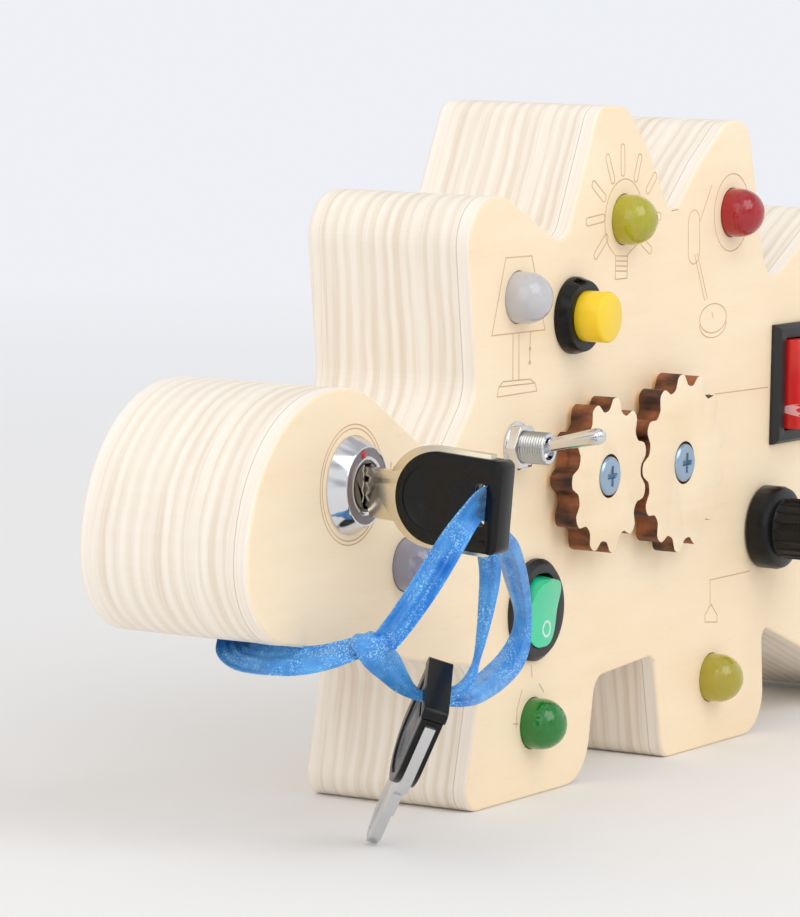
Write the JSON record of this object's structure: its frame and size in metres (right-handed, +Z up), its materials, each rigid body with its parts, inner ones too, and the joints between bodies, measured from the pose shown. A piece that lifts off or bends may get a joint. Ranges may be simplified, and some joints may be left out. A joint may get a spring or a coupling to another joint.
{
  "type": "wooden busy board",
  "caption": "Standing plywood board in the shape of a plated dinosaur, with gears, a key switch, a spare key on a ribbon, lamps, a push button, a toggle, rockers and a knob.",
  "frame": {"origin": "middle of the length and depth, without the ribbon and the spare key, on the ground under the feet", "axes": "+X along the board from the nose towards the tail, -Y out of the front face towards the user, +Z up"},
  "size_m": [0.3, 0.0686, 0.134],
  "materials": {
    "panel_wood": "satin lacquered birch plywood face",
    "core_wood": "cut edge of birch plywood layers",
    "gear_wood": "plywood with scorched edges",
    "zinc": "bright zinc plated",
    "lock_chrome": "polished",
    "switch_chrome": "polished",
    "nut_steel": "plain",
    "plug_steel": "satin",
    "key_steel": "nickel plated",
    "key_plastic": "moulded black",
    "switch_plastic": "moulded red brown",
    "button_plastic": "moulded yellow",
    "frame_plastic": "moulded dark grey",
    "red_plastic": "moulded red",
    "green_plastic": "moulded mint green",
    "knob_plastic": "moulded black",
    "lens_white": "milky lens",
    "lens_yellow": "milky lens",
    "lens_red": "milky lens",
    "lens_green": "milky lens",
    "lens_grey": "milky lens",
    "battery_plastic": "moulded dark grey",
    "cell": "plain sleeve",
    "satin": "blue satin ribbon with fine glitter"
  },
  "bodies": {
    "board": {"front_panel": "panel_wood", "body_core": "core_wood", "back_panel": "panel_wood", "back_screws": "zinc", "battery_tray": "battery_plastic", "battery_cells": "cell", "battery_contacts": "zinc", "battery_cover": "battery_plastic", "battery_cover_screw": "zinc", "gear_spacers": "zinc", "gear_screws": "zinc", "gear_nuts": "zinc", "lock_body": "lock_chrome", "lock_nut": "nut_steel", "toggle_body": "switch_plastic", "toggle_bushing": "switch_chrome", "toggle_nut": "switch_chrome", "button_body": "frame_plastic", "button_nut": "nut_steel", "rocker_frame": "frame_plastic", "round_rocker_body": "frame_plastic", "knob_switch": "nut_steel", "knob_nut": "nut_steel", "lamp_table": "lens_white", "lamp_bulb": "lens_yellow", "lamp_desk": "lens_red", "lamp_pendant": "lens_green", "lamp_corner": "lens_yellow", "lamp_head": "lens_grey", "ribbon_tail": "satin", "ribbon_knot": "satin", "ribbon_front": "satin", "ribbon_back": "satin"},
    "large_gear_body": {"large_gear": "gear_wood"},
    "small_gear_body": {"small_gear": "gear_wood"},
    "toggle": {"toggle_lever": "switch_chrome"},
    "button": {"button_cap": "button_plastic"},
    "red_rocker": {"rocker_actuator": "red_plastic"},
    "green_rocker": {"round_rocker_actuator": "green_plastic"},
    "selector": {"knob_shaft": "nut_steel", "knob": "knob_plastic"},
    "key": {"lock_plug": "plug_steel", "key_blade": "key_steel", "key_head": "key_plastic"},
    "spare_key": {"spare_key_blade": "key_steel", "spare_key_head": "key_plastic"}
  },
  "joints": [
    {"name": "large_gear_spin", "type": "hinge", "parent": "board", "child": "large_gear_body", "pos_m": [0.005, -0.0052, 0.0618], "axis": [0, 1, 0], "continuous": true},
    {"name": "small_gear_spin", "type": "hinge", "parent": "board", "child": "small_gear_body", "pos_m": [-0.0268, -0.0052, 0.0618], "axis": [0, 1, 0], "continuous": true},
    {"name": "toggle_flip", "type": "hinge", "parent": "board", "child": "toggle", "pos_m": [-0.0544, -0.0062, 0.0695], "axis": [1, 0, 0], "range_deg": [0, 26]},
    {"name": "button_press", "type": "slide", "parent": "board", "child": "button", "axis": [0, 1, 0], "range_m": [0, 0.0025], "stiffness_N_per_m": 400},
    {"name": "red_rocker_tilt", "type": "hinge", "parent": "board", "child": "red_rocker", "pos_m": [0.0705, -0.0017, 0.0737], "axis": [0, 0, 1], "range_deg": [-16, 0]},
    {"name": "green_rocker_tilt", "type": "hinge", "parent": "board", "child": "green_rocker", "pos_m": [-0.0461, -0.0017, 0.0369], "axis": [1, 0, 0], "range_deg": [-18, 0]},
    {"name": "knob_turn", "type": "hinge", "parent": "board", "child": "selector", "pos_m": [0.0531, -0.01, 0.0439], "axis": [0, 1, 0], "range_deg": [-135, 135]},
    {"name": "key_turn", "type": "hinge", "parent": "board", "child": "key", "pos_m": [-0.115, -0.01, 0.0673], "axis": [0, 1, 0], "range_deg": [0, 90], "deforming": ["ribbon_front", "ribbon_back"]},
    {"name": "spare_key_swing", "type": "hinge", "parent": "board", "child": "spare_key", "pos_m": [-0.1143, -0.0188, 0.0286], "axis": [0.5694, -0.7662, -0.2977], "range_deg": [0, 45], "deforming": ["ribbon_back"]}
  ],
  "couplings": [
    {"joint": "small_gear_spin", "follows": "large_gear_spin", "ratio": -1.1818}
  ]
}
